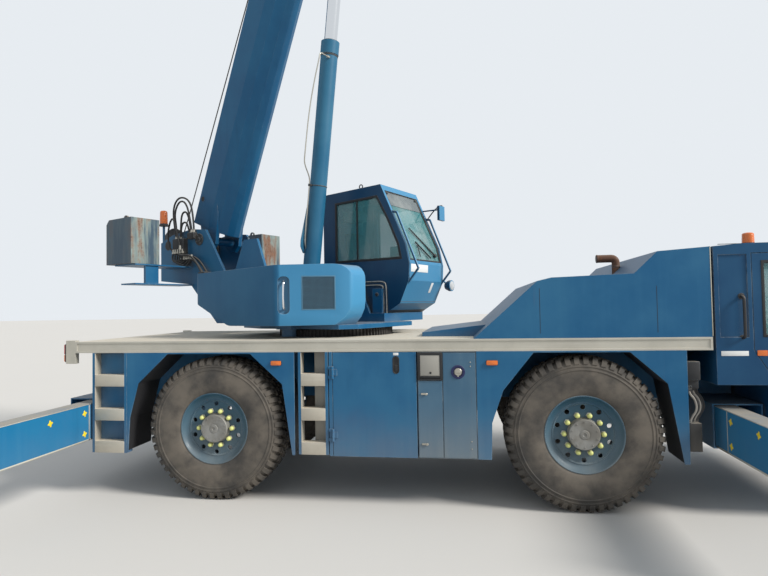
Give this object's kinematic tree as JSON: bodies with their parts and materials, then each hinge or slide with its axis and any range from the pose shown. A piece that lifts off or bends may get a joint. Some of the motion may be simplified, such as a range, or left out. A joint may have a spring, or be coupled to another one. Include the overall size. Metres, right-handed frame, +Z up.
{
  "type": "two-axle mobile crane",
  "caption": "Two-axle all-terrain mobile crane with telescopic boom raised, outriggers out, driver's cab and crane cab.",
  "frame": {"origin": "on the ground under the slewing axis", "axes": "+X to the front of the carrier, +Y to its left, +Z up"},
  "size_m": [8.6937, 5.98, 12.2328],
  "materials": {
    "blue_paint": "satin weathered paint",
    "deck_alloy": "dusty ribbed plate",
    "dark_steel": "dull black paint with dust",
    "grey_steel": "grey paint with dirt",
    "chrome_rod": "polished rod",
    "rusty_steel": "rusty heat-stained steel",
    "rubber_tyre": "worn rubber",
    "window_glass": "dusty glass",
    "trim_plastic": "moulded plastic",
    "orange_lens": "lamp lens",
    "clear_lens": "lamp lens",
    "rope_wire": "greased wire rope",
    "ring_steel": "greased steel",
    "weight_paint": "paint over cast iron, with rust runs"
  },
  "bodies": {
    "carrier": {"chassis_frame": "blue_paint", "deck": "deck_alloy", "fenders": "trim_plastic", "side_panels": "blue_paint", "access_ladders": "blue_paint", "tool_locker": "blue_paint", "service_box": "blue_paint", "side_tank_left": "blue_paint", "engine_hood": "blue_paint", "exhaust": "rusty_steel", "engine_block": "dark_steel", "driver_cab_shell": "blue_paint", "driver_cab_glass": "window_glass", "driver_cab_interior": "trim_plastic", "front_bumper": "blue_paint", "lamps": "clear_lens", "driver_beacon": "orange_lens", "axle_front": "dark_steel", "axle_rear": "dark_steel", "slew_ring": "ring_steel"},
    "locker_door": {"tool_locker_door": "blue_paint"},
    "driver_door_right": {"driver_door_right": "blue_paint"},
    "driver_door_left": {"driver_door_left": "blue_paint"},
    "knuckle_front_right": {"knuckle_front_right": "dark_steel"},
    "wheel_front_right": {"rim_front_right": "blue_paint", "tyre_front_right": "rubber_tyre"},
    "knuckle_front_left": {"knuckle_front_left": "dark_steel"},
    "wheel_front_left": {"rim_front_left": "blue_paint", "tyre_front_left": "rubber_tyre"},
    "knuckle_rear_right": {"knuckle_rear_right": "dark_steel"},
    "wheel_rear_right": {"rim_rear_right": "blue_paint", "tyre_rear_right": "rubber_tyre"},
    "knuckle_rear_left": {"knuckle_rear_left": "dark_steel"},
    "wheel_rear_left": {"rim_rear_left": "blue_paint", "tyre_rear_left": "rubber_tyre"},
    "beam_rear_right": {"outrigger_beam_rear_right": "blue_paint"},
    "jack_rear_right": {"outrigger_jack_rear_right": "grey_steel"},
    "beam_rear_left": {"outrigger_beam_rear_left": "blue_paint"},
    "jack_rear_left": {"outrigger_jack_rear_left": "grey_steel"},
    "beam_front_right": {"outrigger_beam_front_right": "blue_paint"},
    "jack_front_right": {"outrigger_jack_front_right": "grey_steel"},
    "beam_front_left": {"outrigger_beam_front_left": "blue_paint"},
    "jack_front_left": {"outrigger_jack_front_left": "grey_steel"},
    "upperworks": {"turntable_frame": "blue_paint", "side_housing": "blue_paint", "counterweights": "weight_paint", "winch": "rope_wire", "crane_cab_shell": "blue_paint", "crane_cab_glass": "window_glass", "crane_cab_interior": "trim_plastic"},
    "crane_cab_door": {"crane_cab_door": "blue_paint"},
    "lift_barrel": {"lift_barrel": "blue_paint"},
    "lift_rod": {"lift_rod": "chrome_rod"},
    "boom": {"boom_base": "blue_paint"},
    "boom_inner_1": {"boom_section_1": "blue_paint"},
    "boom_inner_2": {"boom_section_2": "blue_paint"},
    "boom_inner_3": {"boom_section_3": "blue_paint", "boom_head": "blue_paint"},
    "hook": {"hook_block": "grey_steel", "rope_falls": "rope_wire"}
  },
  "joints": [
    {"name": "steer_front_right", "type": "hinge", "parent": "carrier", "child": "knuckle_front_right", "pos_m": [2.674, -0.92, 0.735], "axis": [0, 0, 1], "range_deg": [-30, 30]},
    {"name": "spin_front_right", "type": "hinge", "parent": "knuckle_front_right", "child": "wheel_front_right", "pos_m": [2.674, -1.055, 0.735], "axis": [0, 1, 0], "continuous": true},
    {"name": "steer_front_left", "type": "hinge", "parent": "carrier", "child": "knuckle_front_left", "pos_m": [2.674, 0.92, 0.735], "axis": [0, 0, 1], "range_deg": [-30, 30]},
    {"name": "spin_front_left", "type": "hinge", "parent": "knuckle_front_left", "child": "wheel_front_left", "pos_m": [2.674, 1.055, 0.735], "axis": [0, 1, 0], "continuous": true},
    {"name": "steer_rear_right", "type": "hinge", "parent": "carrier", "child": "knuckle_rear_right", "pos_m": [-1.016, -0.92, 0.735], "axis": [0, 0, 1], "range_deg": [-20, 20]},
    {"name": "spin_rear_right", "type": "hinge", "parent": "knuckle_rear_right", "child": "wheel_rear_right", "pos_m": [-1.016, -1.055, 0.735], "axis": [0, 1, 0], "continuous": true},
    {"name": "steer_rear_left", "type": "hinge", "parent": "carrier", "child": "knuckle_rear_left", "pos_m": [-1.016, 0.92, 0.735], "axis": [0, 0, 1], "range_deg": [-20, 20]},
    {"name": "spin_rear_left", "type": "hinge", "parent": "knuckle_rear_left", "child": "wheel_rear_left", "pos_m": [-1.016, 1.055, 0.735], "axis": [0, 1, 0], "continuous": true},
    {"name": "slide_rear_right", "type": "slide", "parent": "carrier", "child": "beam_rear_right", "axis": [0, -1, 0], "range_m": [-1.65, 0]},
    {"name": "jack_slide_rear_right", "type": "slide", "parent": "beam_rear_right", "child": "jack_rear_right", "axis": [0, 0, 1], "range_m": [-0.15, 0.35]},
    {"name": "slide_rear_left", "type": "slide", "parent": "carrier", "child": "beam_rear_left", "axis": [0, 1, 0], "range_m": [-1.65, 0]},
    {"name": "jack_slide_rear_left", "type": "slide", "parent": "beam_rear_left", "child": "jack_rear_left", "axis": [0, 0, 1], "range_m": [-0.15, 0.35]},
    {"name": "slide_front_right", "type": "slide", "parent": "carrier", "child": "beam_front_right", "axis": [0, -1, 0], "range_m": [-1.65, 0]},
    {"name": "jack_slide_front_right", "type": "slide", "parent": "beam_front_right", "child": "jack_front_right", "axis": [0, 0, 1], "range_m": [-0.15, 0.35]},
    {"name": "slide_front_left", "type": "slide", "parent": "carrier", "child": "beam_front_left", "axis": [0, 1, 0], "range_m": [-1.65, 0]},
    {"name": "jack_slide_front_left", "type": "slide", "parent": "beam_front_left", "child": "jack_front_left", "axis": [0, 0, 1], "range_m": [-0.15, 0.35]},
    {"name": "slew", "type": "hinge", "parent": "carrier", "child": "upperworks", "pos_m": [0, 0, 1.7], "axis": [0, 0, 1], "continuous": true},
    {"name": "boom_luff", "type": "hinge", "parent": "upperworks", "child": "boom", "pos_m": [-1.90325, 0.8875, 2.95], "axis": [-0.4226, -0.9063, 0], "range_deg": [-68, 10]},
    {"name": "barrel_tilt", "type": "hinge", "parent": "upperworks", "child": "lift_barrel", "pos_m": [-0.37884, 0.17665, 2.3], "axis": [-0.4226, -0.9063, 0], "range_deg": [-78.2, 11.5]},
    {"name": "rod_slide", "type": "slide", "parent": "lift_barrel", "child": "lift_rod", "axis": [0.1147, -0.0535, 0.992], "range_m": [-1.479, 0.2175]},
    {"name": "telescope_1", "type": "slide", "parent": "boom", "child": "boom_inner_1", "axis": [0.3395, -0.1583, 0.9272], "range_m": [0, 6.9]},
    {"name": "telescope_2", "type": "slide", "parent": "boom_inner_1", "child": "boom_inner_2", "axis": [0.3395, -0.1583, 0.9272], "range_m": [0, 6.9]},
    {"name": "telescope_3", "type": "slide", "parent": "boom_inner_2", "child": "boom_inner_3", "axis": [0.3395, -0.1583, 0.9272], "range_m": [0, 6.9]},
    {"name": "hook_swing", "type": "hinge", "parent": "boom_inner_3", "child": "hook", "pos_m": [1.77687, -0.82857, 11.87907], "axis": [-0.4226, -0.9063, 0], "range_deg": [-10, 68]},
    {"name": "crane_cab_door_hinge", "type": "hinge", "parent": "upperworks", "child": "crane_cab_door", "pos_m": [0.28148, 1.37265, 2.7], "axis": [0, 0, 1], "range_deg": [0, 95]},
    {"name": "driver_door_right_hinge", "type": "hinge", "parent": "carrier", "child": "driver_door_right", "pos_m": [5.225, -1.293, 1.5], "axis": [0, 0, 1], "range_deg": [0, 70]},
    {"name": "driver_door_left_hinge", "type": "hinge", "parent": "carrier", "child": "driver_door_left", "pos_m": [5.225, 1.293, 1.5], "axis": [0, 0, -1], "range_deg": [0, 70]},
    {"name": "locker_door_hinge", "type": "hinge", "parent": "carrier", "child": "locker_door", "pos_m": [0.264, -1.293, 1], "axis": [0, 0, -1], "range_deg": [0, 100]}
  ],
  "couplings": [
    {"joint": "steer_front_left", "follows": "steer_front_right", "ratio": 1},
    {"joint": "steer_rear_left", "follows": "steer_rear_right", "ratio": 1},
    {"joint": "barrel_tilt", "follows": "boom_luff", "ratio": 1.15},
    {"joint": "rod_slide", "follows": "boom_luff", "m_per_rad": 1.2462},
    {"joint": "telescope_2", "follows": "telescope_1", "ratio": 1},
    {"joint": "telescope_3", "follows": "telescope_1", "ratio": 1},
    {"joint": "hook_swing", "follows": "boom_luff", "ratio": -1}
  ]
}
